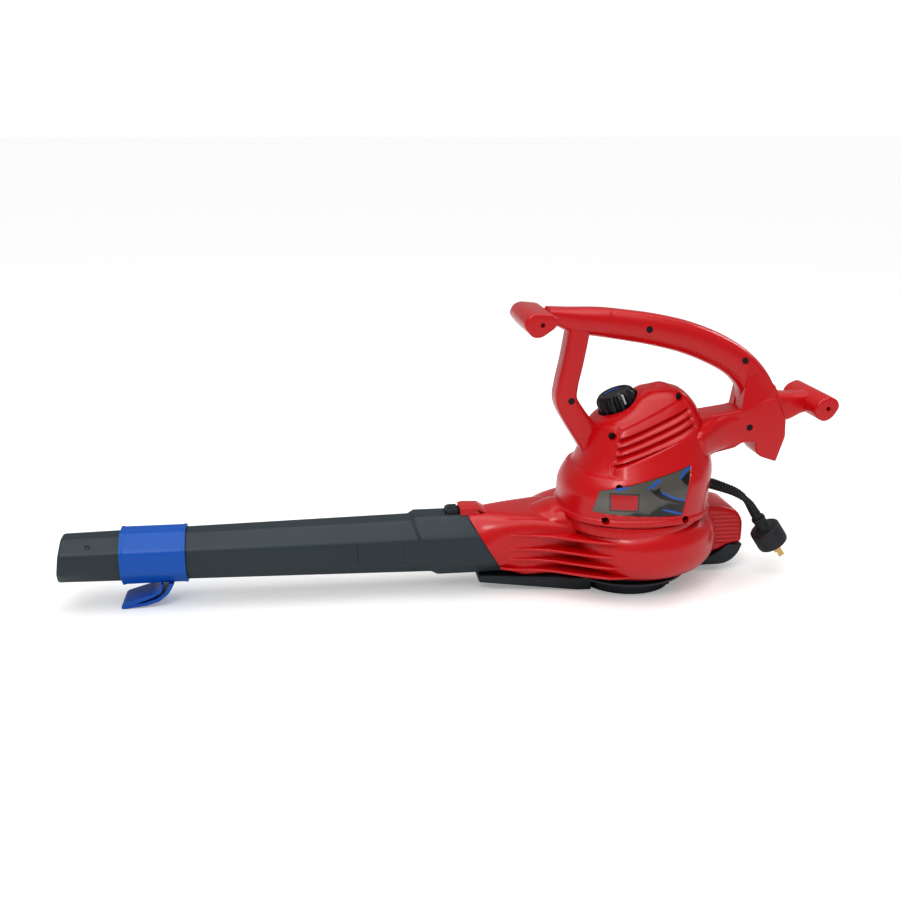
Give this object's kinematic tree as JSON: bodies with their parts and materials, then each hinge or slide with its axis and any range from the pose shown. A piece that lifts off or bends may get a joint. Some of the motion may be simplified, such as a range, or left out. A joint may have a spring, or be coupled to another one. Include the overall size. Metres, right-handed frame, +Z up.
{
  "type": "leaf blower",
  "caption": "Corded leaf blower and vacuum: scroll fan housing with motor dome and loop handle, speed dial, hinged inlet cover, latched blower tube with sliding scraper clip, short power cord.",
  "frame": {"origin": "centre of the inlet cover's underside, on the fan axis, at the plane the blower stands on", "axes": "+X to the rear, the blower tube runs along -X; +Z up along the fan axis; +Y to the right-hand side as a user holds it forward"},
  "size_m": [0.8499, 0.206, 0.3165],
  "materials": {
    "red_plastic": "gloss injection-moulded",
    "dark_plastic": "satin textured",
    "tube_plastic": "satin textured",
    "blue_plastic": "satin",
    "black_plastic": "satin",
    "fan_plastic": "glass-filled",
    "white_plastic": "natural",
    "pointer_grey": "satin",
    "label_print": "printed film",
    "board_green": "coated board",
    "black_rubber": "matt",
    "steel": "turned",
    "lamination": "stacked sheet",
    "cast_bracket": "cast",
    "copper": "enamelled copper",
    "brass": "bright",
    "screw_black": "black oxide"
  },
  "bodies": {
    "root": {"shell_left": "red_plastic", "shell_right": "red_plastic", "volute_upper": "red_plastic", "volute_lower": "dark_plastic", "cover_pin": "steel", "stator_core": "lamination", "field_coils": "copper", "lower_bearing": "steel", "upper_bearing": "steel", "bearing_retainer": "steel", "motor_base_bracket": "cast_bracket", "motor_top_bracket": "cast_bracket", "motor_mount_ring": "black_rubber", "motor_screws": "steel", "brush_holders": "brass", "carbon_brushes": "black_plastic", "brush_springs": "steel", "speed_switch": "black_plastic", "control_board": "board_green", "mains_lead": "black_rubber", "cord_clamp": "black_plastic", "interlock_switch": "black_plastic", "plunger_spring": "steel", "cord_relief": "black_rubber", "power_cord": "black_rubber", "plug_boot": "black_rubber", "plug_body": "black_rubber", "plug_blades": "brass", "label_left": "label_print", "label_right": "label_print", "handle_screws": "screw_black", "housing_screws": "screw_black", "volute_screws": "screw_black"},
    "rotor": {"impeller": "fan_plastic", "impeller_nut": "steel", "impeller_washer": "steel", "shredder_blade": "steel", "fan_spacer": "steel", "rotor_shaft": "steel", "armature_core": "lamination", "armature_windings": "copper", "commutator": "copper", "cooling_fan": "white_plastic"},
    "cover": {"inlet_cover": "dark_plastic"},
    "plunger": {"interlock_plunger": "white_plastic"},
    "dial": {"speed_knob": "black_plastic", "knob_pointer": "pointer_grey", "switch_spindle": "white_plastic"},
    "tube": {"blow_tube": "tube_plastic", "latch_spring": "steel"},
    "latch": {"tube_latch": "black_plastic"},
    "clip": {"scraper_clip": "blue_plastic"}
  },
  "joints": [
    {"name": "fan_spin", "type": "hinge", "parent": "root", "child": "rotor", "pos_m": [0, 0, 0.1], "axis": [0, 0, 1], "continuous": true},
    {"name": "speed_dial", "type": "hinge", "parent": "root", "child": "dial", "pos_m": [-0.011, 0, 0.198], "axis": [-0.3746, 0, 0.9272], "range_deg": [0, 240]},
    {"name": "inlet_cover_hinge", "type": "hinge", "parent": "root", "child": "cover", "pos_m": [0.061, 0, 0.0123], "axis": [0, -1, 0], "range_deg": [0, 100]},
    {"name": "interlock_plunger_slide", "type": "slide", "parent": "root", "child": "plunger", "axis": [1, 0, 0], "range_m": [0, 0.0019]},
    {"name": "tube_slide", "type": "slide", "parent": "root", "child": "tube", "axis": [-1, 0, 0], "range_m": [0, 0.13]},
    {"name": "tube_latch_press", "type": "slide", "parent": "tube", "child": "latch", "axis": [0, 0, -1], "range_m": [0, 0.003], "stiffness_N_per_m": 800, "springref_m": -0.002, "deforming": ["latch_spring"]},
    {"name": "clip_slide", "type": "slide", "parent": "tube", "child": "clip", "axis": [-1, 0, 0], "range_m": [0, 0.14]}
  ],
  "couplings": [
    {"joint": "interlock_plunger_slide", "follows": "inlet_cover_hinge", "m_per_rad": 0.0010313}
  ]
}
